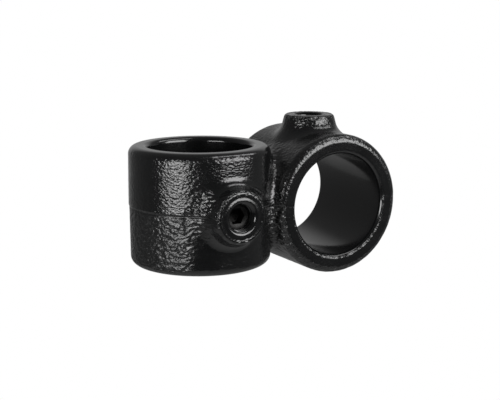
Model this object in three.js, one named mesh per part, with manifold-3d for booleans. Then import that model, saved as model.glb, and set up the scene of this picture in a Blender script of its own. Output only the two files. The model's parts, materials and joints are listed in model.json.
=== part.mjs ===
// Cross fitting: two collars at a right angle, side by side in one casting. Each one holds a tube by a
// set screw in a threaded boss. Millimetres, +Z up. The origin is the centre of the upright collar's bore.
import * as THREE from "three";
import { mergeVertices } from "three/addons/utils/BufferGeometryUtils.js";
import Module from "manifold-3d";

const wasm = await Module();
wasm.setup();

// ---- driving dimensions ----
const tubeDiameter = 33.7;
const tubeClearance = 1.3; // on diameter, between a tube and its bore
const collarDiameter = 48.2;
const uprightLength = 40;
const railLength = 40;
const boreGap = 8.3; // iron between the two bores, where they come closest
const railDrop = 1.5; // the rail bore's axis below the upright collar's mid-height
const collarRounding = 2.8;
const mouthRounding = 1.6;

const bossReach = 5.2; // boss face above its collar's surface
const bossFaceDiameter = 17.2;
const bossDraft = 15; // degrees
const bossRounding = 0.9;
const neckDiameter = 33; // the round web where the two collars meet

const threadDiameter = 10; // nominal
const threadPitch = 1.5;
const threadAngle = 60; // degrees, between the two flanks of a groove
const screwUndersize = 0.15; // on diameter, the screw's crests under the nominal size
const flankGap = 0.15; // between the screw's flanks and the hole's
const rootGap = 0.22; // between the screw's root and the hole's crest
const crestGap = 0.3; // between the screw's crest and the hole's root
const holeChamfer = 1.3; // its width at the boss face

const screwLength = 8;
const pointShoulder = 0.5; // the straight part behind the point's cone
const pointRimDiameter = 5.1;
const pointRimWidth = 0.15;
const cupAngle = 118; // degrees, inside the cup
const socketAcrossFlats = 5;
const socketFloor = 2.2; // solid left from the end of the socket's flats to the barrel's inner end
const screwChamfer = 0.6;
const pointSetback = 0.2; // the point's rest place, back from the bore's wall
const pieceGap = 0.3; // between the threaded barrel and its point

// ---- how fine the faces are ----
const collarFaces = 48;
const bossFaces = 32;
const threadFaces = 20; // in one turn
const arcFaces = 3; // in a quarter round

// ---- worked out ----
const boreRadius = (tubeDiameter + tubeClearance) / 2;
const collarRadius = collarDiameter / 2;
const collarSpacing = 2 * boreRadius + boreGap;
const bossFace = collarRadius + bossReach; // from the collar's axis
const bossRadius = bossFaceDiameter / 2;
const bossRoot = boreRadius + 1; // the boss starts inside the collar's wall
const crestFlat = threadPitch / 8; // width of a crest, along the screw
const threadDepth = 0.567 * threadPitch;
const flankAngle = THREE.MathUtils.degToRad(threadAngle / 2);
const crestRadius = (threadDiameter - screwUndersize) / 2;
const rootRadius = crestRadius - threadDepth;
const holeRadius = rootRadius + rootGap;
const rimRadius = pointRimDiameter / 2;
const pointEnd = boreRadius + pointSetback; // from the collar's axis
const pointBack = pointEnd + rootRadius - rimRadius + pointShoulder;
const barrelStart = pointBack + pieceGap;
const barrelEnd = pointEnd + screwLength;
const overrun = 2; // how far a cutter runs past the face it cuts
const bite = 0.15; // how far a thread ridge starts inside the core it stands on

const upright = new THREE.Matrix4();
const rail = new THREE.Matrix4()
  .makeRotationX(Math.PI / 2)
  .setPosition(collarSpacing, 0, -railDrop);
// A boss is made along +Z from its collar's axis, and then turned to its place.
const uprightBoss = new THREE.Matrix4().makeRotationX(Math.PI / 2);
const railBoss = new THREE.Matrix4().makeTranslation(collarSpacing, 0, -railDrop);

// ---- solids ----
function solid(geometry, place = upright) {
  const bare = geometry.clone();
  bare.deleteAttribute("normal");
  bare.deleteAttribute("uv");
  bare.applyMatrix4(place);
  const merged = mergeVertices(bare, 1e-4);
  return new wasm.Manifold(
    new wasm.Mesh({
      numProp: 3,
      vertProperties: merged.getAttribute("position").array,
      triVerts: new Uint32Array(merged.index.array),
    }),
  );
}

function geometryOf(manifold) {
  const { vertProperties, triVerts } = manifold.getMesh();
  const geometry = new THREE.BufferGeometry();
  geometry.setAttribute("position", new THREE.BufferAttribute(vertProperties, 3));
  geometry.setIndex(new THREE.BufferAttribute(triVerts, 1));
  geometry.computeVertexNormals();
  return geometry;
}

// Profiles are radius and height, from the bottom of the axis to its top. A lathe turns about Y.
function turned(profile, faces) {
  const points = profile.map(([radius, height]) => new THREE.Vector2(radius, height));
  return new THREE.LatheGeometry(points, faces).rotateX(Math.PI / 2);
}

// Points of an arc in a profile, angles in degrees from the radius direction.
function arc(centreRadius, centreHeight, radius, from, to) {
  return Array.from({ length: arcFaces + 1 }, (_, i) => {
    const angle = THREE.MathUtils.degToRad(from + ((to - from) * i) / arcFaces);
    return [centreRadius + radius * Math.cos(angle), centreHeight + radius * Math.sin(angle)];
  });
}

function collarBlank(length) {
  const shoulder = length / 2 - collarRounding;
  const corner = collarRadius - collarRounding;
  return turned(
    [
      [0, -length / 2],
      ...arc(corner, -shoulder, collarRounding, -90, 0),
      ...arc(corner, shoulder, collarRounding, 0, 90),
      [0, length / 2],
    ],
    collarFaces,
  );
}

// What the bore takes away: the tube's way through, with a rounded mouth at each end.
function boreCutter(length) {
  const shoulder = length / 2 - mouthRounding;
  const corner = boreRadius + mouthRounding;
  return turned(
    [
      [0, -length / 2 - overrun],
      [corner, -length / 2 - overrun],
      ...arc(corner, -shoulder, mouthRounding, 270, 180),
      ...arc(corner, shoulder, mouthRounding, 180, 90),
      [corner, length / 2 + overrun],
      [0, length / 2 + overrun],
    ],
    collarFaces,
  );
}

function bossBlank() {
  const spread = (bossFace - bossRoot) * Math.tan(THREE.MathUtils.degToRad(bossDraft));
  return turned(
    [
      [0, bossRoot],
      [bossRadius + spread, bossRoot],
      ...arc(bossRadius - bossRounding, bossFace - bossRounding, bossRounding, bossDraft, 90),
      [0, bossFace],
    ],
    bossFaces,
  );
}

// A right-handed helix about Z whose frames keep the section upright and facing outwards.
class Helix extends THREE.Curve {
  constructor(radius, pitch, start, end) {
    super();
    Object.assign(this, { radius, pitch, start, end });
  }

  angle(t) {
    return ((this.start + (this.end - this.start) * t) / this.pitch) * 2 * Math.PI;
  }

  getPoint(t, target = new THREE.Vector3()) {
    const angle = this.angle(t);
    const height = this.start + (this.end - this.start) * t;
    return target.set(this.radius * Math.cos(angle), this.radius * Math.sin(angle), height);
  }

  getPointAt(t, target) {
    return this.getPoint(t, target);
  }

  computeFrenetFrames(segments) {
    const tangents = [];
    const normals = [];
    const binormals = [];
    for (let i = 0; i <= segments; i++) {
      const angle = this.angle(i / segments);
      tangents.push(new THREE.Vector3(-Math.sin(angle), Math.cos(angle), 0));
      normals.push(new THREE.Vector3(Math.cos(angle), Math.sin(angle), 0));
      binormals.push(new THREE.Vector3(0, 0, -1));
    }
    return { tangents, normals, binormals };
  }
}

// One thread ridge that covers a stretch of the axis, from a radius inside the core out to its crest.
// It is made of whole turns from a whole number of pitches, so every ridge on one axis is in step.
function threadRidge(inner, outer, widen, from, to) {
  const start = (Math.floor(from / threadPitch) - 1) * threadPitch;
  const end = (Math.ceil(to / threadPitch) + 1) * threadPitch;
  const halfAt = (radius) => crestFlat / 2 + (crestRadius - radius) * Math.tan(flankAngle) + widen;
  const section = new THREE.Shape([
    new THREE.Vector2(0, -halfAt(inner)),
    new THREE.Vector2(outer - inner, -halfAt(outer)),
    new THREE.Vector2(outer - inner, halfAt(outer)),
    new THREE.Vector2(0, halfAt(inner)),
  ]);
  const turns = (end - start) / threadPitch;
  return new THREE.ExtrudeGeometry(section, {
    steps: Math.round(turns * threadFaces),
    extrudePath: new Helix(inner, threadPitch, start, end),
    bevelEnabled: false,
  });
}

// The tapped hole, from the bore out to its chamfer at the boss face.
function tappedHole() {
  const inside = boreRadius - overrun;
  const drill = solid(
    turned(
      [
        [0, inside],
        [holeRadius, inside],
        [holeRadius, bossFace - holeChamfer],
        [holeRadius + holeChamfer + overrun, bossFace + overrun],
        [0, bossFace + overrun],
      ],
      threadFaces,
    ),
  );
  const widen = flankGap / Math.cos(flankAngle);
  const groove = threadRidge(holeRadius - bite, crestRadius + crestGap, widen, inside, bossFace);
  return drill.add(solid(groove));
}

// The screw's threaded barrel, with its hex socket at the outer end.
function barrel() {
  const envelope = turned(
    [
      [0, barrelStart],
      [crestRadius - screwChamfer, barrelStart],
      [crestRadius, barrelStart + screwChamfer],
      [crestRadius, barrelEnd - screwChamfer],
      [crestRadius - screwChamfer, barrelEnd],
      [0, barrelEnd],
    ],
    threadFaces,
  );
  const coreLength = screwLength + 2 * overrun;
  const core = new THREE.CylinderGeometry(rootRadius, rootRadius, coreLength, threadFaces);
  core.rotateX(Math.PI / 2);
  core.translate(0, 0, (barrelStart + barrelEnd) / 2);
  const ridge = threadRidge(rootRadius - bite, crestRadius + bite, 0, barrelStart, barrelEnd);
  const socketRadius = socketAcrossFlats / 2 / Math.cos(Math.PI / 6);
  const socket = turned(
    [
      [0, barrelStart + socketFloor - socketRadius / 2],
      [socketRadius, barrelStart + socketFloor],
      [socketRadius, barrelEnd + overrun],
      [0, barrelEnd + overrun],
    ],
    6,
  );
  return solid(core).add(solid(ridge)).intersect(solid(envelope)).subtract(solid(socket));
}

// The screw's cup point, which bites into the tube.
function cupPoint() {
  const cupRadius = rimRadius - pointRimWidth;
  const cupDepth = cupRadius / Math.tan(THREE.MathUtils.degToRad(cupAngle / 2));
  return solid(
    turned(
      [
        [0, pointEnd + cupDepth],
        [cupRadius, pointEnd],
        [rimRadius, pointEnd],
        [rootRadius, pointBack - pointShoulder],
        [rootRadius, pointBack],
        [0, pointBack],
      ],
      threadFaces,
    ),
  );
}

function castBody() {
  const neck = new THREE.CylinderGeometry(neckDiameter / 2, neckDiameter / 2, collarSpacing / 2, bossFaces);
  neck.rotateZ(Math.PI / 2);
  neck.translate(collarSpacing / 2, 0, -railDrop / 2);
  const bores = solid(boreCutter(uprightLength)).add(solid(boreCutter(railLength), rail));
  const holes = tappedHole();
  return solid(collarBlank(uprightLength))
    .add(solid(collarBlank(railLength), rail))
    .add(solid(neck))
    .add(solid(bossBlank(), uprightBoss))
    .add(solid(bossBlank(), railBoss))
    .subtract(bores)
    .subtract(solid(geometryOf(holes), uprightBoss))
    .subtract(solid(geometryOf(holes), railBoss));
}

// ---- materials ----
const blackCoat = new THREE.MeshStandardMaterial({ color: 0x1c1e20, roughness: 0.38, metalness: 0.1 });
const blackSteel = new THREE.MeshStandardMaterial({ color: 0x24262a, roughness: 0.45, metalness: 0.85 });

// ---- assembly ----
function piece(name, manifold, material) {
  const mesh = new THREE.Mesh(geometryOf(manifold), material);
  mesh.name = name;
  return mesh;
}

function setScrew(name, place) {
  const screw = new THREE.Group();
  screw.add(piece(name + "_screw_barrel", barrel(), blackSteel.clone()));
  screw.add(piece(name + "_screw_point", cupPoint(), blackSteel.clone()));
  screw.applyMatrix4(place);
  return screw;
}

const group = new THREE.Group();
group.add(piece("cast_body", castBody(), blackCoat));
group.add(setScrew("upright", uprightBoss));
group.add(setScrew("rail", railBoss));

export default group;
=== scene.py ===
"""Looks of the cross fitting: a black-coated casting with two collars, and a set screw in each boss.

Lengths are millimetres until add_mesh() turns them into the frame's metres. Values inside materials,
lights and node trees are in metres. A boss or a screw is made along +Z from its collar's axis, as in
the CAD, and then turned to its place.
"""

import json
import math

import bmesh
import bpy
import numpy as np
from mathutils import Matrix, Vector


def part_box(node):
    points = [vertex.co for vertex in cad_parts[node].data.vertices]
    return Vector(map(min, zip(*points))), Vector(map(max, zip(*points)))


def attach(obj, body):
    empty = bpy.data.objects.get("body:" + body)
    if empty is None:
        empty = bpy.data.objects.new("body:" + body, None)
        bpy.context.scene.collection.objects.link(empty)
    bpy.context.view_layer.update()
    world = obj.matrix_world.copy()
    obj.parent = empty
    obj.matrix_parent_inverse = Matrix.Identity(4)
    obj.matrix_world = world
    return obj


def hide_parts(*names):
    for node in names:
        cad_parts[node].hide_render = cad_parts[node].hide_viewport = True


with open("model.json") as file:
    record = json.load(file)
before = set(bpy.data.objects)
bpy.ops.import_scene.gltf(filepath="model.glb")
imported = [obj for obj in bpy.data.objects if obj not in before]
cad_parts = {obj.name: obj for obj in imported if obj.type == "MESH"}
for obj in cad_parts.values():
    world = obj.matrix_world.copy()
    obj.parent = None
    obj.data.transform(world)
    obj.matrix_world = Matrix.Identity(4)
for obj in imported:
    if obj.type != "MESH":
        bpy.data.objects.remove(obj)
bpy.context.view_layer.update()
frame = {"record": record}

MM = 0.001

# ---- sizes read from the frame ----
body_low, body_high = (np.array(corner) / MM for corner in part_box("cast_body"))
mounts = {mount["name"]: np.array(mount["pos_m"]) / MM for mount in frame["record"]["mounts"]}
COLLAR_RADIUS = -body_low[0]
RAIL_X = body_high[0] - COLLAR_RADIUS
RAIL_Z = body_low[2] + COLLAR_RADIUS
BOSS_FACE = -body_low[1]  # from the collar's axis
UPRIGHT_HALF = mounts["upright_collar_top"][2]
RAIL_HALF = -mounts["rail_collar_near_end"][1]

# ---- places of the pieces that are made along +Z ----
ALONG_Y = Matrix.Rotation(math.pi / 2, 4, "X")
UPRIGHT_BOSS = ALONG_Y
RAIL_BOSS = Matrix.Translation((RAIL_X, 0, RAIL_Z))
RAIL_COLLAR = RAIL_BOSS @ ALONG_Y

# ---- sizes of the casting ----
BORE_RADIUS = 17.5
COLLAR_ROUNDING = 2.8
MOUTH_ROUNDING = 1.6
BOSS_RADIUS = 8.6  # at its face
BOSS_DRAFT = math.radians(15)
BOSS_ROUNDING = 0.9
DISH_DEPTH = 0.2  # of the shallow ring between a boss's rim and its hole
DISH = (5.9, 6.5, 7.3, 7.8)  # radii where that ring starts, is full, stops being full and ends
NECK_RADIUS = 16.5
NECK_FILLET = 3.0
UPRIGHT_BOSS_FILLET = 2.6
RAIL_BOSS_FILLET = 3.0
MOULD_DRAFT = 0.008  # the collar narrows by this much of the height above and below the parting line
PARTING_STEP = 0.2  # the lower half of the mould sits this far inside the upper half
PARTING_RAMP = 0.35  # the step is spread this far above and below the parting line
STUB_FLARE = 2  # how much wider the blank of a boss is at its foot
SKIN_GRIDS = ((0.8, 2), (0.5, 8))  # spacings of the casting's skin, and rounds of evening each out

# ---- the cast pebbles ----
PEBBLE_DEPTH = 0.16
PEBBLES_PER_METRE = 520.0
UPPER_PEBBLES = 0.3  # their depth above the parting line, as a share of that below it
PEBBLE_SEED = 3.0

# ---- how pebbled the coat is: 1 on the plain skin. A reach is how far from a place a weight changes. ----
NECK_WEIGHT, NECK_REACH = 1.4, (0.8, 4.0)  # beside the neck
FOOT_WEIGHT, FOOT_START = 0.15, 0.8  # at the foot of a boss
UPRIGHT_FOOT_END, RAIL_FOOT_END = 5.0, 2.6
LEFT_WEIGHT, LEFT_REACH = 1.7, (6.5, 3.0)  # a rough patch to the left of the upright boss
LEFT_SIDE = (0.55, 0.85)  # how far to the left, as a share of the way from the boss's axis
CALM_SHARE, CALM_REACH = 0.75, (0.8, 3.5)  # what the smoother parts of the upright collar's front lose
CALM_RAMP = 1.0  # they change this far above and below the parting line
UNDER_BOSS = (-46, -30, 60, 100)  # degrees round the collar from its front towards the neck
TO_NECK = (10, 24, 48, 64)
ON_COLLAR = 0.6  # what lies less than this outside the upright collar is part of it
UPRIGHT_END_REACH = (0.3, 2.2)
RAIL_END_WEIGHT, RAIL_END_REACH = 0.1, (0.01, 0.12)
RAIL_ROUND_EXTRA, RAIL_ROUND_REACH = 0.35, (0.05, 0.5, 1.6, 2.6)
FACE_WEIGHT, FACE_REACH = 0.15, (0.02, 0.3)  # on a boss's face
RIM_EXTRA, RIM_REACH = 1.2, (0.05, 0.3, 0.8, 1.4)
INSIDE_RIM_WEIGHT = 0.1
COAT_THICKNESS = 0.3  # what lies deeper has no coat, such as a bore

# ---- sizes of the thread and the screw ----
PITCH = 1.5
FLANK = math.radians(30)
CREST_FLAT = PITCH / 8
CREST_RADIUS = 4.925
ROOT_RADIUS = CREST_RADIUS - 0.567 * PITCH
HOLE_RADIUS = ROOT_RADIUS + 0.22
GROOVE_RADIUS = CREST_RADIUS + 0.1
GROOVE_WIDENING = 0.06 / math.cos(FLANK)
HOLE_LIP = 1.6  # rounding of the tapped hole's edge
LIP_CUT = 0.02  # how far the rounding starts above the face
SCREW_CHAMFER = 0.6
SOCKET_LEAD_IN = 1.4  # depth of the cone that opens the socket
POINT_END = BORE_RADIUS + 0.2
POINT_RIM = 2.55
POINT_RIM_WIDTH = 0.15
POINT_SHOULDER = 0.5
CUP_ANGLE = math.radians(118)
SCREW_LENGTH = 8
SOCKET_RADIUS = 2.5 / math.cos(math.pi / 6)  # across the corners, halved
SOCKET_FLOOR = 2.2
POINT_BACK = POINT_END + ROOT_RADIUS - POINT_RIM + POINT_SHOULDER
PIECE_GAP = 0.3
STUB_INSET = 0.35  # the point's stub is this much thinner than the thread's root
STUB_GAP = 0.01  # between the stub and the barrel
BARREL_START = POINT_BACK + PIECE_GAP
BARREL_END = POINT_END + SCREW_LENGTH

OVERRUN = 2  # how far a cutter runs past the face it cuts
SCREW_OVERRUN = 1  # the same for what cuts the barrel
BITE = 0.15  # how far a ridge starts inside the core it stands on
ROUND_STEPS = 160  # faces in a full turn of a collar's bore
SMALL_STEPS = 64  # faces in a full turn of a screw or its hole

# ---- finishes ----
FINE_GRAIN = {"Grains per metre": 1350.0, "Grain height": 0.00023, "Mottles per metre": 140.0}
COARSE_GRAIN = {"Grains per metre": 720.0, "Grain height": 0.0006, "Mottles per metre": 60.0}
STEEL_GRAIN = {"Grains per metre": 4000.0, "Grain height": 0.000008, "Mottles per metre": 500.0}
GRAIN_STRETCH = (0.78, 0.78, 1.25)  # makes the coat's grain longer across than up
MOTTLE = (0.3, 0.7)  # most of a mottle's values lie between these
LOWER_COARSE, EXTRA_COARSE = 1.25, 1.3  # coarse grain below the parting line, and where skin is above 1
LOWER_LOSS, EXTRA_LOSS, MOST_LOSS = 0.5, 2.4, 0.7  # fine grain that is lost there
GRAIN_RAMP, PEBBLE_RAMP = 0.0004, 0.0006  # they change this far above and below the parting line
LINE_WIDTH, LINE_DEPTH, LINE_WAVER = 0.0007, 0.0003, 0.5  # the groove along the parting line
COAT_ROUGHNESS = (0.12, 0.19)
PEBBLE_ROUGHNESS, LOWER_ROUGHNESS = 0.06, 0.12  # added where the coat is pebbled
COAT_DARK, COAT_PALE = (0.0036, 0.0038, 0.004, 1.0), (0.0056, 0.0058, 0.006, 1.0)
STEEL_ROUGHNESS = (0.32, 0.5)
STEEL_DARK, STEEL_PALE = (0.010, 0.010, 0.010, 1.0), (0.020, 0.0195, 0.019, 1.0)

# ---- studio ----
CAMERA_AZIMUTH, CAMERA_ELEVATION = -29.74, 11.08
CAMERA_BACK, CAMERA_RIGHT, CAMERA_UP = 378.21, 16.82, 0.95
FOCAL_LENGTH = 80.58
LAMP_WATTS = 4  # for each square metre of a lamp at a radiance of 1
FLOOR_DEPTH, FLOOR_RADIUS = 750, 1200
FLOOR_IN_GLOSS = 0.05  # how bright the floor is in reflections, as a share of what the camera sees
ROOM_LIGHT = 0.25  # of the world on what isn't glossy


# ---- meshes ----
def add_mesh(name, points, faces):
    """A new object from points in millimetres."""
    mesh = bpy.data.meshes.new(name)
    mesh.from_pydata((np.asarray(points, float) * MM).tolist(), [], faces)
    mesh.validate()
    made = bpy.data.objects.new(name, mesh)
    bpy.context.scene.collection.objects.link(made)
    return made


def place(piece, matrix):
    """Moves a piece's mesh, with the matrix in millimetres."""
    in_metres = matrix.copy()
    in_metres.translation = matrix.translation * MM
    piece.data.transform(in_metres)
    return piece


def turned(name, profile, steps):
    """A closed lathe about Z. The profile is radius and height, from the bottom of the axis to its top."""
    angles = [2 * math.pi * i / steps for i in range(steps)]
    (_, bottom), *rings, (_, top) = profile
    points = [(r * math.cos(a), r * math.sin(a), h) for r, h in rings for a in angles]
    low_pole, high_pole = len(points), len(points) + 1
    points += [(0, 0, bottom), (0, 0, top)]
    faces = []
    for i in range(steps):
        j = (i + 1) % steps
        faces.append((low_pole, j, i))
        for row in range(len(rings) - 1):
            a, b = row * steps, (row + 1) * steps
            faces.append((a + i, a + j, b + j, b + i))
        last = (len(rings) - 1) * steps
        faces.append((high_pole, last + i, last + j))
    return add_mesh(name, points, faces)


def cylinder(name, radius, low, high, steps=SMALL_STEPS):
    return turned(name, [(0, low), (radius, low), (radius, high), (0, high)], steps)


def arc(centre_radius, centre_height, radius, start, end, steps=10):
    """Points of an arc in a profile, angles in degrees from the radius direction."""
    angles = [math.radians(start + (end - start) * i / steps) for i in range(steps + 1)]
    return [(centre_radius + radius * math.cos(a), centre_height + radius * math.sin(a)) for a in angles]


def settle(piece):
    """Turns what a piece's modifiers make into its own plain mesh."""
    seen = piece.evaluated_get(bpy.context.evaluated_depsgraph_get())
    made = bpy.data.meshes.new_from_object(seen)
    piece.modifiers.clear()
    old = piece.data
    piece.data = made
    bpy.data.meshes.remove(old)
    return piece


def combine(piece, other, operation):
    """Joins, cuts or keeps the common part of two closed meshes, and uses the second one up."""
    step = piece.modifiers.new("combine", "BOOLEAN")
    step.operation = operation
    step.solver = "MANIFOLD"
    step.object = other
    settle(piece)
    bpy.data.objects.remove(other)
    return piece


def points_of(mesh):
    """A mesh's points in millimetres."""
    flat = np.empty(len(mesh.vertices) * 3)
    mesh.vertices.foreach_get("co", flat)
    return flat.reshape(-1, 3) / MM


def set_points(mesh, points):
    mesh.vertices.foreach_set("co", (points * MM).ravel())
    mesh.update()


def shade(piece, angle):
    """Smooth faces, with an edge left sharp where it turns by more than the angle."""
    piece.data.shade_smooth()
    piece.data.set_sharp_from_angle(angle=math.radians(angle))


# ---- the casting's outer form, as distances from its surface ----
def rounded(a, b, radius):
    """What two solids have in common, with its edge rounded."""
    inside = np.minimum(-radius, np.maximum(a, b))
    return inside + np.hypot(np.maximum(radius + a, 0), np.maximum(radius + b, 0))


def filleted(a, b, radius):
    """Two solids joined, with a fillet in the corner between them."""
    outside = np.maximum(radius, np.minimum(a, b))
    return outside - np.hypot(np.maximum(radius - a, 0), np.maximum(radius - b, 0))


def smoothstep(low, high, value):
    """Rises smoothly from 0 to 1 between two values, or falls from 1 to 0 if the first is the higher."""
    t = np.clip((value - low) / (high - low), 0, 1)
    return t * t * (3 - 2 * t)


def plateau(start, full, fade, end, value):
    """Rises from 0 to 1, stays there and falls to 0 again."""
    return smoothstep(start, full, value) * smoothstep(end, fade, value)


def blend(low, high, share):
    return low + (high - low) * share


def upright_collar(p):
    below = smoothstep(PARTING_RAMP, -PARTING_RAMP, p[:, 2])
    wall = COLLAR_RADIUS - MOULD_DRAFT * np.abs(p[:, 2]) - PARTING_STEP * below
    side = np.hypot(p[:, 0], p[:, 1]) - wall
    return rounded(side, np.abs(p[:, 2]) - UPRIGHT_HALF, COLLAR_ROUNDING)


def rail_collar(p):
    side = np.hypot(p[:, 0] - RAIL_X, p[:, 2] - RAIL_Z) - COLLAR_RADIUS
    return rounded(side, np.abs(p[:, 1]) - RAIL_HALF, COLLAR_ROUNDING)


def neck(p):
    side = np.hypot(p[:, 1], p[:, 2] - RAIL_Z / 2) - NECK_RADIUS
    return np.maximum(side, np.abs(p[:, 0] - RAIL_X / 2) - RAIL_X / 2)


def boss(across, along):
    """A drafted boss, from how far a point is from the boss's axis and how far along it."""
    side = (across - BOSS_RADIUS - (BOSS_FACE - along) * math.tan(BOSS_DRAFT)) * math.cos(BOSS_DRAFT)
    end = along - BOSS_FACE + DISH_DEPTH * plateau(*DISH, across)
    return np.maximum(rounded(side, end, BOSS_ROUNDING), -along)


def upright_boss(p):
    return boss(np.hypot(p[:, 0], p[:, 2]), -p[:, 1])


def rail_boss(p):
    return boss(np.hypot(p[:, 0] - RAIL_X, p[:, 1]), p[:, 2] - RAIL_Z)


def casting_form(p):
    joined = filleted(upright_collar(p), neck(p), NECK_FILLET)
    joined = filleted(joined, rail_collar(p), NECK_FILLET)
    joined = filleted(joined, upright_boss(p), UPRIGHT_BOSS_FILLET)
    return filleted(joined, rail_boss(p), RAIL_BOSS_FILLET)


def onto_form(points, rounds):
    """Moves points along the form's slope until they lie on its surface."""
    small, least_slope = 1e-3, 0.25
    for _ in range(rounds):
        slope = np.empty_like(points)
        for axis in range(3):
            step = np.zeros(3)
            step[axis] = small
            slope[:, axis] = (casting_form(points + step) - casting_form(points - step)) / (2 * small)
        steep = np.maximum((slope**2).sum(axis=1), least_slope)
        points = points - (casting_form(points) / steep)[:, None] * slope
    return points


def evened(points, edges, rounds):
    """Evens out the spacing of points on the form, and keeps them on it."""
    pull = 0.6
    ends = np.concatenate([edges[:, 0], edges[:, 1]])
    others = np.concatenate([edges[:, 1], edges[:, 0]])
    count = np.bincount(ends, minlength=len(points))[:, None]
    for _ in range(rounds):
        totals = [np.bincount(ends, points[others, axis], len(points)) for axis in range(3)]
        middle = np.stack(totals, axis=1) / count
        points = onto_form(points + pull * (middle - points), 1)
    return points


def foot_weight(p, from_boss, at_rail):
    """Smooth at the feet of the bosses, and rough to the left of the upright boss."""
    foot_end = np.where(at_rail, RAIL_FOOT_END, UPRIGHT_FOOT_END)
    foot = blend(FOOT_WEIGHT, 1, smoothstep(FOOT_START, foot_end, from_boss))
    across = np.hypot(p[:, 0], p[:, 2]) + 1e-6
    left = smoothstep(*LEFT_SIDE, -p[:, 0] / across) * smoothstep(*LEFT_REACH, from_boss) * (p[:, 1] < 0)
    return np.maximum(foot, LEFT_WEIGHT * left)


def front_weight(p, from_joint):
    """The upright collar's front is smoother below its boss, and above the parting line near the neck."""
    turn = np.degrees(np.arctan2(p[:, 0], -p[:, 1]))
    below = smoothstep(CALM_RAMP, -CALM_RAMP, p[:, 2])
    calm = np.maximum(below * plateau(*UNDER_BOSS, turn), (1 - below) * plateau(*TO_NECK, turn))
    return 1 - CALM_SHARE * calm * smoothstep(*CALM_REACH, from_joint)


def end_weight(p, on_upright):
    """Smooth on the collars' end faces, and a little rougher where the rail collar's ends round over."""
    upright_end = np.where(on_upright, smoothstep(*UPRIGHT_END_REACH, UPRIGHT_HALF - np.abs(p[:, 2])), 1)
    in_rail = np.hypot(p[:, 0] - RAIL_X, p[:, 2] - RAIL_Z) < COLLAR_RADIUS
    from_end = RAIL_HALF - np.abs(p[:, 1])
    rail_end = blend(RAIL_END_WEIGHT, 1, smoothstep(*RAIL_END_REACH, from_end))
    rail_end += RAIL_ROUND_EXTRA * plateau(*RAIL_ROUND_REACH, from_end)
    return upright_end * np.where(in_rail, rail_end, 1)


def face_weight(p):
    """Smooth on the faces of the bosses, and rough in a band around their rims."""
    from_face = np.minimum(np.abs(BOSS_FACE + p[:, 1]), np.abs(p[:, 2] - RAIL_Z - BOSS_FACE))
    weight = blend(FACE_WEIGHT, 1, smoothstep(*FACE_REACH, from_face))
    weight += RIM_EXTRA * plateau(*RIM_REACH, from_face)
    inside_rim = (np.hypot(p[:, 0], p[:, 2]) < DISH[2]) & (p[:, 1] < 0)
    inside_rim |= (np.hypot(p[:, 0] - RAIL_X, p[:, 1]) < DISH[2]) & (p[:, 2] > 0)
    return np.where(inside_rim, INSIDE_RIM_WEIGHT, weight)


def skin_weight(p):
    """How pebbled the coat is: 0 where it is smooth, 1 on the plain skin, and more in rough places."""
    upright, rail, web = upright_collar(p), rail_collar(p), neck(p)
    near_boss, far_boss = upright_boss(p), rail_boss(p)
    from_joint = np.maximum(web, np.partition([upright, rail, web], 1, axis=0)[1])
    from_boss = np.maximum(np.minimum(upright, rail), np.minimum(near_boss, far_boss))
    weight = blend(NECK_WEIGHT, 1, smoothstep(*NECK_REACH, from_joint))
    weight *= foot_weight(p, from_boss, far_boss < near_boss)
    weight *= np.where(upright < rail, front_weight(p, from_joint), 1)
    weight *= end_weight(p, upright < ON_COLLAR)
    weight *= face_weight(p)
    return np.where(casting_form(p) < -COAT_THICKNESS, 0, weight)


def set_attribute(piece, name, values):
    layer = piece.data.attributes.get(name) or piece.data.attributes.new(name, "FLOAT", "POINT")
    layer.data.foreach_set("value", values.astype(np.float32))


# ---- node trees ----
def add_inputs(tree, inputs):
    """Named inputs of a tree: name, socket type and value, where None keeps the socket's own value."""
    for label, kind, value in inputs:
        socket = tree.interface.new_socket(label, in_out="INPUT", socket_type=kind)
        if value is not None:
            socket.default_value = value


def new_tree(name, inputs, takes_geometry):
    """An empty geometry tree with named inputs."""
    tree = bpy.data.node_groups.new(name, "GeometryNodeTree")
    if takes_geometry:
        tree.interface.new_socket("Geometry", in_out="INPUT", socket_type="NodeSocketGeometry")
    add_inputs(tree, inputs)
    tree.interface.new_socket("Geometry", in_out="OUTPUT", socket_type="NodeSocketGeometry")
    return tree


def new_group(name, inputs, outputs):
    """An empty shader group with named inputs and outputs."""
    group = bpy.data.node_groups.new(name, "ShaderNodeTree")
    add_inputs(group, inputs)
    for label, kind in outputs:
        group.interface.new_socket(label, in_out="OUTPUT", socket_type=kind)
    return group


def add_node(tree, kind, values=None, **settings):
    """A node with its settings, and its inputs set or linked by name."""
    node = tree.nodes.new(kind)
    for key, value in settings.items():
        setattr(node, key, value)
    for key, value in (values or {}).items():
        if isinstance(value, bpy.types.NodeSocket):
            tree.links.new(value, node.inputs[key])
        else:
            node.inputs[key].default_value = value
    return node


def calc(tree, operation, *values):
    """The output of a maths node."""
    return add_node(tree, "ShaderNodeMath", dict(enumerate(values)), operation=operation).outputs[0]


def weighed(tree, a, a_share, b, b_share):
    """Two values added up, each times its share."""
    return calc(tree, "ADD", calc(tree, "MULTIPLY", a, a_share), calc(tree, "MULTIPLY", b, b_share))


def ranged(tree, value, low, high, from_low=0.0, from_high=1.0, curve="LINEAR"):
    """A value carried from one range to another."""
    return add_node(
        tree,
        "ShaderNodeMapRange",
        {"Value": value, "From Min": from_low, "From Max": from_high, "To Min": low, "To Max": high},
        interpolation_type=curve,
    ).outputs[0]


def finish_tree(tree, geometry, material):
    """Ends a tree in Realize Instances and Set Material."""
    real = add_node(tree, "GeometryNodeRealizeInstances", {"Geometry": geometry})
    coated = add_node(tree, "GeometryNodeSetMaterial", {"Geometry": real.outputs[0], "Material": material})
    end = tree.nodes.new("NodeGroupOutput")
    tree.links.new(coated.outputs[0], end.inputs["Geometry"])


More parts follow.
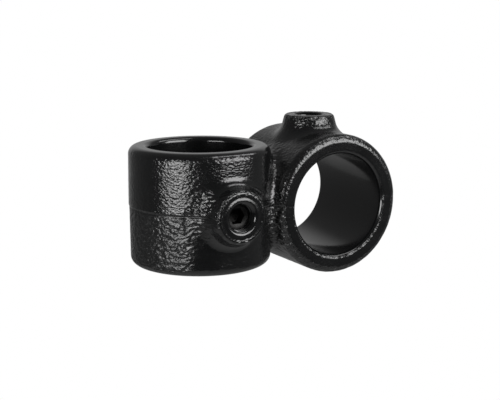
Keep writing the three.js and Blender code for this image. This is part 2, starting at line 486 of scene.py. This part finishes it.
def grow(piece, tree, sizes):
    """Runs a tree on a piece with the named sizes, and leaves a plain mesh."""
    step = piece.modifiers.new(tree.name, "NODES")
    step.node_group = tree
    for item in tree.interface.items_tree:
        if item.in_out == "INPUT" and item.name in sizes:
            step[item.identifier] = sizes[item.name]
    return settle(piece)


def thread_tree():
    """A thread ridge: a four-cornered section carried up a right-handed helix about Z."""
    metres = "NodeSocketFloat"
    tree = new_tree(
        "thread_ridge",
        [
            ("Pitch", metres, 0.0015),
            ("Turns", metres, 6.0),
            ("Faces per turn", "NodeSocketInt", SMALL_STEPS),
            ("Inner radius", metres, 0.004),
            ("Outer radius", metres, 0.005),
            ("Inner half width", metres, 0.0006),
            ("Outer half width", metres, 0.0001),
            ("Start", metres, 0.0),
            ("Material", "NodeSocketMaterial", None),
        ],
        takes_geometry=False,
    )
    sizes = tree.nodes.new("NodeGroupInput").outputs
    helix = add_node(
        tree,
        "GeometryNodeCurveSpiral",
        {
            "Resolution": sizes["Faces per turn"],
            "Rotations": sizes["Turns"],
            "Start Radius": sizes["Inner radius"],
            "End Radius": sizes["Inner radius"],
            "Height": calc(tree, "MULTIPLY", sizes["Pitch"], sizes["Turns"]),
            "Reverse": True,
        },
    )
    level = add_node(tree, "GeometryNodeSetCurveNormal", {"Curve": helix.outputs[0]}, mode="Z_UP")
    reach = calc(tree, "SUBTRACT", sizes["Outer radius"], sizes["Inner radius"])
    section = add_node(tree, "GeometryNodeCurvePrimitiveQuadrilateral", mode="POINTS")
    corners = [
        (0.0, calc(tree, "MULTIPLY", sizes["Inner half width"], -1.0)),
        (reach, calc(tree, "MULTIPLY", sizes["Outer half width"], -1.0)),
        (reach, sizes["Outer half width"]),
        (0.0, sizes["Inner half width"]),
    ]
    for number, (out, up) in enumerate(corners, start=1):
        corner = add_node(tree, "ShaderNodeCombineXYZ", {"X": out, "Y": up})
        tree.links.new(corner.outputs[0], section.inputs[f"Point {number}"])
    ridge = add_node(
        tree,
        "GeometryNodeCurveToMesh",
        {"Curve": level.outputs[0], "Profile Curve": section.outputs[0], "Fill Caps": True},
    )
    lift = add_node(tree, "ShaderNodeCombineXYZ", {"Z": sizes["Start"]})
    raised = add_node(
        tree, "GeometryNodeTransform", {"Geometry": ridge.outputs[0], "Translation": lift.outputs[0]}
    )
    finish_tree(tree, raised.outputs[0], sizes["Material"])
    return tree


def thread_ridge(inner, outer, widening, start, end, material):
    """One ridge over a stretch of the axis, from whole pitches, so that every ridge on an axis is in step."""
    first = (math.floor(start / PITCH) - 1) * PITCH
    last = (math.ceil(end / PITCH) + 1) * PITCH

    def half_width(radius):
        return CREST_FLAT / 2 + (CREST_RADIUS - radius) * math.tan(FLANK) + widening

    return grow(
        add_mesh("thread_ridge", [], []),
        THREAD,
        {
            "Pitch": PITCH * MM,
            "Turns": (last - first) / PITCH,
            "Faces per turn": SMALL_STEPS,
            "Inner radius": inner * MM,
            "Outer radius": outer * MM,
            "Inner half width": half_width(inner) * MM,
            "Outer half width": half_width(outer) * MM,
            "Start": first * MM,
            "Material": material,
        },
    )


def pebble_tree():
    """Sinks the cast skin into soft pebbles, where the skin attribute says that it is pebbled."""
    number = "NodeSocketFloat"
    tree = new_tree(
        "cast_pebbles",
        [
            ("Depth", number, 0.0001),
            ("Pebbles per metre", number, 500.0),
            ("Upper half", number, 0.5),
            ("Seed", number, 1.0),
            ("Material", "NodeSocketMaterial", None),
        ],
        takes_geometry=True,
    )
    given = tree.nodes.new("NodeGroupInput").outputs
    position = tree.nodes.new("GeometryNodeInputPosition").outputs[0]
    noise = add_node(
        tree,
        "ShaderNodeTexNoise",
        {
            "Vector": position,
            "W": given["Seed"],
            "Scale": given["Pebbles per metre"],
            "Detail": 1.0,
            "Roughness": 0.5,
        },
        noise_dimensions="4D",
    )
    height = add_node(tree, "ShaderNodeSeparateXYZ", {"Vector": position}).outputs["Z"]
    upper = ranged(tree, height, 1.0, given["Upper half"], -PEBBLE_RAMP, PEBBLE_RAMP)
    skin = add_node(tree, "GeometryNodeInputNamedAttribute", {"Name": "skin"}).outputs["Attribute"]
    sink = calc(tree, "MULTIPLY", calc(tree, "MULTIPLY", noise.outputs[0], skin), upper)
    depth = calc(tree, "MULTIPLY", sink, calc(tree, "MULTIPLY", given["Depth"], -1.0))
    normal = tree.nodes.new("GeometryNodeInputNormal").outputs[0]
    offset = add_node(tree, "ShaderNodeVectorMath", {0: normal, "Scale": depth}, operation="SCALE")
    moved = add_node(
        tree, "GeometryNodeSetPosition", {"Geometry": given["Geometry"], "Offset": offset.outputs[0]}
    )
    finish_tree(tree, moved.outputs[0], given["Material"])
    return tree


# ---- pieces ----
def remesh(piece, spacing):
    step = piece.modifiers.new("remesh", "REMESH")
    step.mode = "VOXEL"
    step.voxel_size = spacing * MM
    step.use_smooth_shade = True
    settle(piece)


def casting_skin():
    """The whole outer form without its bores, on an even grid."""
    stub = [
        (0, BORE_RADIUS),
        (BOSS_RADIUS + STUB_FLARE, BORE_RADIUS),
        (BOSS_RADIUS, BOSS_FACE),
        (0, BOSS_FACE),
    ]
    along_x = Matrix.Translation((0, 0, RAIL_Z / 2)) @ Matrix.Rotation(math.pi / 2, 4, "Y")
    blanks = [
        cylinder("collar", COLLAR_RADIUS, -UPRIGHT_HALF, UPRIGHT_HALF),
        place(cylinder("collar", COLLAR_RADIUS, -UPRIGHT_HALF, UPRIGHT_HALF), RAIL_COLLAR),
        place(cylinder("web", NECK_RADIUS, 0, RAIL_X), along_x),
        place(turned("stub", stub, SMALL_STEPS), UPRIGHT_BOSS),
        place(turned("stub", stub, SMALL_STEPS), RAIL_BOSS),
    ]
    joined = bmesh.new()
    for blank in blanks:
        joined.from_mesh(blank.data)
        bpy.data.objects.remove(blank)
    skin = add_mesh("cast_body_looks", [], [])
    joined.to_mesh(skin.data)
    joined.free()
    for spacing, rounds in SKIN_GRIDS:
        remesh(skin, spacing)
        edges = np.empty(len(skin.data.edges) * 2, int)
        skin.data.edges.foreach_get("vertices", edges)
        points = onto_form(points_of(skin.data), 5)
        points = evened(points, edges.reshape(-1, 2), rounds)
        set_points(skin.data, onto_form(points, 2))
    return skin


def bore_cutter(half_length):
    """The tube's way through a collar, with a rounded mouth at each end."""
    shoulder = half_length - MOUTH_ROUNDING
    corner = BORE_RADIUS + MOUTH_ROUNDING
    profile = [
        (0, -half_length - OVERRUN),
        (corner, -half_length - OVERRUN),
        *arc(corner, -shoulder, MOUTH_ROUNDING, 270, 180),
        *arc(corner, shoulder, MOUTH_ROUNDING, 180, 90),
        (corner, half_length + OVERRUN),
        (0, half_length + OVERRUN),
    ]
    return turned("bore_cutter", profile, ROUND_STEPS)


def hole_cutter(material):
    """The tapped hole, from the bore out to its rounded edge at the boss face."""
    inside = BORE_RADIUS - OVERRUN
    drill = turned(
        "hole_cutter",
        [
            (0, inside),
            (HOLE_RADIUS, inside),
            *arc(HOLE_RADIUS + HOLE_LIP, BOSS_FACE - HOLE_LIP + LIP_CUT, HOLE_LIP, 180, 90),
            (HOLE_RADIUS + HOLE_LIP, BOSS_FACE + OVERRUN),
            (0, BOSS_FACE + OVERRUN),
        ],
        SMALL_STEPS,
    )
    groove = thread_ridge(HOLE_RADIUS - BITE, GROOVE_RADIUS, GROOVE_WIDENING, inside, BOSS_FACE, material)
    return combine(drill, groove, "UNION")


def make_cast_body(coat):
    """The casting: its pebbled skin, with the bores and the tapped holes cut out of it."""
    body = casting_skin()
    set_attribute(body, "skin", skin_weight(points_of(body.data)))
    sizes = {
        "Depth": PEBBLE_DEPTH * MM,
        "Pebbles per metre": PEBBLES_PER_METRE,
        "Upper half": UPPER_PEBBLES,
        "Seed": PEBBLE_SEED,
        "Material": coat,
    }
    grow(body, pebble_tree(), sizes)
    combine(body, bore_cutter(UPRIGHT_HALF), "DIFFERENCE")
    combine(body, place(bore_cutter(RAIL_HALF), RAIL_COLLAR), "DIFFERENCE")
    for boss_place in (UPRIGHT_BOSS, RAIL_BOSS):
        combine(body, place(hole_cutter(coat), boss_place), "DIFFERENCE")
    set_attribute(body, "skin", skin_weight(points_of(body.data)))
    shade(body, 35)
    return body


def make_barrel(name, steel):
    """The screw's threaded barrel, with its hex socket at the outer end."""
    low, high = BARREL_START, BARREL_END
    past = high + SCREW_OVERRUN
    core = cylinder(name, ROOT_RADIUS, low - SCREW_OVERRUN, past)
    envelope = turned(
        "envelope",
        [
            (0, low),
            (CREST_RADIUS - SCREW_CHAMFER, low),
            (CREST_RADIUS, low + SCREW_CHAMFER),
            (CREST_RADIUS, high - SCREW_CHAMFER),
            (CREST_RADIUS - SCREW_CHAMFER, high),
            (0, high),
        ],
        SMALL_STEPS,
    )
    floor = low + SOCKET_FLOOR
    drill_tip = (0, floor - SOCKET_RADIUS / 2)
    socket = turned("socket", [drill_tip, (SOCKET_RADIUS, floor), (SOCKET_RADIUS, past), (0, past)], 6)
    lead_in = [(0, high - SOCKET_LEAD_IN), (SOCKET_RADIUS * 2, past), (0, past)]
    ridge = thread_ridge(ROOT_RADIUS - BITE, CREST_RADIUS + BITE, 0, low, high, steel)
    combine(core, ridge, "UNION")
    combine(core, envelope, "INTERSECT")
    combine(core, socket, "DIFFERENCE")
    combine(core, turned("lead_in", lead_in, SMALL_STEPS), "DIFFERENCE")
    shade(core, 25)
    return core


def make_point(name):
    """The screw's cup point, with a stub that reaches back to the barrel."""
    cup_radius = POINT_RIM - POINT_RIM_WIDTH
    cup_depth = cup_radius / math.tan(CUP_ANGLE / 2)
    stub_radius = ROOT_RADIUS - STUB_INSET
    point = turned(
        name,
        [
            (0, POINT_END + cup_depth),
            (cup_radius, POINT_END),
            (POINT_RIM, POINT_END),
            (ROOT_RADIUS, POINT_BACK - POINT_SHOULDER),
            (ROOT_RADIUS, POINT_BACK),
            (stub_radius, POINT_BACK),
            (stub_radius, BARREL_START - STUB_GAP),
            (0, BARREL_START - STUB_GAP),
        ],
        SMALL_STEPS,
    )
    shade(point, 25)
    return point


# ---- materials ----
def grain_group():
    """Fine grain for any finish: a height in metres and a mottle from 0 to 1."""
    number = "NodeSocketFloat"
    group = new_group(
        "surface_grain",
        [
            ("Vector", "NodeSocketVector", None),
            ("Grains per metre", number, 1000.0),
            ("Grain height", number, 0.00001),
            ("Mottles per metre", number, 120.0),
        ],
        [("Height", number), ("Mottle", number)],
    )
    given = group.nodes.new("NodeGroupInput").outputs
    grain = add_node(
        group,
        "ShaderNodeTexNoise",
        {"Vector": given["Vector"], "Scale": given["Grains per metre"], "Detail": 1.0, "Roughness": 0.4},
    )
    mottle = add_node(
        group,
        "ShaderNodeTexNoise",
        {"Vector": given["Vector"], "Scale": given["Mottles per metre"], "Detail": 3.0, "Roughness": 0.55},
    )
    end = group.nodes.new("NodeGroupOutput")
    centred = calc(group, "SUBTRACT", grain.outputs[0], 0.5)
    group.links.new(calc(group, "MULTIPLY", centred, given["Grain height"]), end.inputs["Height"])
    group.links.new(mottle.outputs[0], end.inputs["Mottle"])
    return group


def new_material(name):
    material = bpy.data.materials.new(name)
    material.use_nodes = True
    shader = material.node_tree.nodes["Principled BSDF"]
    return material, material.node_tree, shader


def add_grain(tree, where, sizes):
    """The height and the mottle of the shared grain, on the given coordinates."""
    return add_node(tree, "ShaderNodeGroup", {"Vector": where, **sizes}, node_tree=GRAIN).outputs


def set_finish(tree, shader, relief, roughness, mottle, dark, pale):
    """Feeds a shader with its relief in metres, its roughness and a colour that follows a mottle."""
    bump = add_node(tree, "ShaderNodeBump", {"Height": relief, "Strength": 1.0, "Distance": 1.0})
    tint = add_node(tree, "ShaderNodeMix", {"Factor": mottle, "A": dark, "B": pale}, data_type="RGBA")
    tree.links.new(bump.outputs[0], shader.inputs["Normal"])
    tree.links.new(roughness, shader.inputs["Roughness"])
    tree.links.new(tint.outputs["Result"], shader.inputs["Base Color"])


def black_coat():
    """Gloss black powder coat over a sand-cast skin: pebbled, and rougher below the parting line."""
    material, tree, shader = new_material("black_coat")
    where = tree.nodes.new("ShaderNodeTexCoord").outputs["Object"]
    stretched = add_node(tree, "ShaderNodeMapping", {"Vector": where, "Scale": GRAIN_STRETCH}).outputs[0]
    skin = add_node(tree, "ShaderNodeAttribute", attribute_name="skin").outputs["Fac"]
    height = add_node(tree, "ShaderNodeSeparateXYZ", {"Vector": where}).outputs["Z"]
    lower = ranged(tree, height, 1.0, 0.0, -GRAIN_RAMP, GRAIN_RAMP)
    extra = calc(tree, "MAXIMUM", calc(tree, "SUBTRACT", skin, 1.0), 0.0)

    # Below the parting line and in rough places, coarse grain takes over from fine grain.
    fine = add_grain(tree, stretched, FINE_GRAIN)
    coarse = add_grain(tree, stretched, COARSE_GRAIN)
    extra_loss = calc(tree, "MINIMUM", calc(tree, "MULTIPLY", extra, EXTRA_LOSS), MOST_LOSS)
    loss = calc(tree, "MAXIMUM", calc(tree, "MULTIPLY", lower, LOWER_LOSS), extra_loss)
    fine_share = calc(tree, "SUBTRACT", 1.0, loss)
    coarse_share = weighed(tree, lower, LOWER_COARSE, extra, EXTRA_COARSE)
    pebbles = weighed(tree, fine["Height"], fine_share, coarse["Height"], coarse_share)

    # A wavering groove runs along the parting line, and the grain stops on either side of it.
    wavering = calc(tree, "ADD", height, calc(tree, "MULTIPLY", coarse["Height"], LINE_WAVER))
    off_line = ranged(tree, calc(tree, "ABSOLUTE", wavering), 0.0, 1.0, 0.0, LINE_WIDTH, "SMOOTHSTEP")
    groove = calc(tree, "SUBTRACT", off_line, 1.0)
    relief = calc(tree, "MULTIPLY", weighed(tree, pebbles, off_line, groove, LINE_DEPTH), skin)

    gloss = ranged(tree, fine["Mottle"], *COAT_ROUGHNESS, *MOTTLE)
    rougher = calc(tree, "ADD", calc(tree, "MULTIPLY", lower, LOWER_ROUGHNESS), PEBBLE_ROUGHNESS)
    roughness = calc(tree, "ADD", gloss, calc(tree, "MULTIPLY", skin, rougher))
    set_finish(tree, shader, relief, roughness, coarse["Mottle"], COAT_DARK, COAT_PALE)
    shader.inputs["IOR"].default_value = 1.7
    return material


def black_steel():
    """Black oxide on a steel screw: a dull dark metal with a fine grain and a faint brown mottle."""
    material, tree, shader = new_material("black_steel")
    where = tree.nodes.new("ShaderNodeTexCoord").outputs["Object"]
    grain = add_grain(tree, where, STEEL_GRAIN)
    roughness = ranged(tree, grain["Mottle"], *STEEL_ROUGHNESS, *MOTTLE)
    set_finish(tree, shader, grain["Height"], roughness, grain["Mottle"], STEEL_DARK, STEEL_PALE)
    shader.inputs["Metallic"].default_value = 0.8
    return material


# ---- stage, lights and camera ----
def direction(azimuth, elevation=0.0):
    """A unit vector. Azimuth 0 is -Y and 90 is +X, and elevation is above the horizon, in degrees."""
    a, e = math.radians(azimuth), math.radians(elevation)
    return Vector((math.sin(a) * math.cos(e), -math.cos(a) * math.cos(e), math.sin(e)))


def add_softbox(name, centre, aim, width, height, radiance, along=None):
    """A rectangular lamp in metres that faces a point. Its width runs level, or along a given way."""
    lamp = bpy.data.lights.new(name, "AREA")
    lamp.shape = "RECTANGLE"
    lamp.size, lamp.size_y = width, height
    lamp.energy = radiance * LAMP_WATTS * width * height
    held = bpy.data.objects.new(name, lamp)
    held.location = centre
    back = (centre - aim).normalized()
    upward = back.cross(along or Vector((0, 0, 1)).cross(back)).normalized()
    held.rotation_euler = Matrix((upward.cross(back), upward, back)).transposed().to_euler()
    held.visible_camera = False
    bpy.context.scene.collection.objects.link(held)


def add_panel(name, azimuth, low, high, width, distance, radiance):
    """An upright softbox whose lower and upper edges stand at two heights, in metres."""
    out = direction(azimuth) * distance
    middle = (low + high) / 2
    add_softbox(name, out + Vector((0, 0, middle)), Vector((0, 0, middle)), width, high - low, radiance)


def add_lights():
    """A key softbox to the left, a broad one to the right and a narrow strip above the rail."""
    add_panel("key_softbox", azimuth=-64, low=-0.136, high=0.2, width=0.5, distance=0.8, radiance=5.0)
    add_panel("side_softbox", azimuth=30, low=0.04, high=0.62, width=0.75, distance=0.8, radiance=4.2)
    strip_place, strip_way = direction(68, 58) * 0.9, Vector((-0.70, -0.335, 0.315))
    add_softbox(
        "top_softbox", strip_place, Vector((0, 0, 0)), width=0.9, height=0.18, radiance=2.4, along=strip_way
    )


def seen_directly_and_in_gloss(tree):
    """Two masks: 1 for the camera's own rays, and 1 for what shows in gloss and through glass."""
    path = tree.nodes.new("ShaderNodeLightPath").outputs
    return path["Is Camera Ray"], calc(tree, "MAXIMUM", path["Is Glossy Ray"], path["Is Transmission Ray"])


def either(tree, factor, a, b):
    """One value where the factor is 0, and the other where it is 1."""
    return add_node(tree, "ShaderNodeMix", {"Factor": factor, "A": a, "B": b}, data_type="FLOAT").outputs[0]


def add_world():
    """White to the camera. In reflections a white backdrop stands behind the fitting, and the rest is dim."""
    world = bpy.data.worlds.new("studio")
    bpy.context.scene.world = world
    world.use_nodes = True
    tree = world.node_tree
    tree.nodes.clear()
    directly, in_gloss = seen_directly_and_in_gloss(tree)
    way = tree.nodes.new("ShaderNodeTexCoord").outputs["Generated"]
    middle = direction(150, 4)
    towards = add_node(tree, "ShaderNodeVectorMath", {0: way, 1: middle}, operation="DOT_PRODUCT")
    behind = towards.outputs["Value"]
    screen = ranged(tree, behind, 0.0, 0.3, 0.72, 0.93, "SMOOTHSTEP")
    backdrop = calc(tree, "ADD", screen, ranged(tree, behind, 0.02, 0.14, -0.9, 0.7))
    strength = either(tree, directly, either(tree, in_gloss, ROOM_LIGHT, backdrop), 1.0)
    sky = add_node(tree, "ShaderNodeBackground", {"Color": (1.0, 1.0, 1.0, 1.0), "Strength": strength})
    end = tree.nodes.new("ShaderNodeOutputWorld")
    tree.links.new(sky.outputs[0], end.inputs["Surface"])


def add_floor():
    """A pale floor below the fitting, white to the camera but for the fitting's shadow."""
    floor = cylinder("floor", FLOOR_RADIUS, -FLOOR_DEPTH - 1, -FLOOR_DEPTH, ROUND_STEPS)
    material = bpy.data.materials.new("pale_floor")
    material.use_nodes = True
    tree = material.node_tree
    tree.nodes.clear()
    where = tree.nodes.new("ShaderNodeTexCoord").outputs["Object"]
    out = add_node(tree, "ShaderNodeVectorMath", {0: where}, operation="LENGTH").outputs["Value"]
    directly, in_gloss = seen_directly_and_in_gloss(tree)
    seen = calc(tree, "ADD", directly, calc(tree, "MULTIPLY", in_gloss, FLOOR_IN_GLOSS))
    glow = calc(tree, "MULTIPLY", ranged(tree, out, 0.75, 1.1, 0.85, 1.3), seen)
    pale = add_node(tree, "ShaderNodeBsdfDiffuse", {"Color": (0.5, 0.5, 0.5, 1.0)})
    white = add_node(tree, "ShaderNodeEmission", {"Color": (1.0, 1.0, 1.0, 1.0), "Strength": glow})
    both = add_node(tree, "ShaderNodeAddShader", {0: pale.outputs[0], 1: white.outputs[0]})
    end = tree.nodes.new("ShaderNodeOutputMaterial")
    tree.links.new(both.outputs[0], end.inputs["Surface"])
    floor.data.materials.append(material)


def add_camera():
    """Looks at the fitting from the upright boss's side, a little from the left and above."""
    back = direction(CAMERA_AZIMUTH, CAMERA_ELEVATION)
    right = direction(CAMERA_AZIMUTH + 90)
    up = back.cross(right)
    lens = bpy.data.cameras.new("camera")
    lens.sensor_width = 36
    lens.lens = FOCAL_LENGTH
    lens.clip_start, lens.clip_end = 0.01, 20
    camera = bpy.data.objects.new("camera", lens)
    camera.location = (back * CAMERA_BACK + right * CAMERA_RIGHT + up * CAMERA_UP) * MM
    camera.rotation_euler = Matrix((right, up, back)).transposed().to_euler()
    bpy.context.scene.collection.objects.link(camera)
    bpy.context.scene.camera = camera


# ---- assembly ----
def finish_piece(piece, material, body, node):
    piece.data.materials.clear()
    piece.data.materials.append(material)
    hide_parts(node)
    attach(piece, body)


GRAIN = grain_group()
THREAD = thread_tree()
coat = black_coat()
steel = black_steel()

finish_piece(make_cast_body(coat), coat, "fitting", "cast_body")
for side, boss_place in (("upright", UPRIGHT_BOSS), ("rail", RAIL_BOSS)):
    barrel = place(make_barrel(side + "_screw_barrel_looks", steel), boss_place)
    point = place(make_point(side + "_screw_point_looks"), boss_place)
    finish_piece(barrel, steel, side + "_screw_turning", side + "_screw_barrel")
    finish_piece(point, steel, side + "_screw_travelling", side + "_screw_point")

add_floor()
add_lights()
add_world()
add_camera()
bpy.context.scene.view_settings.view_transform = "Standard"
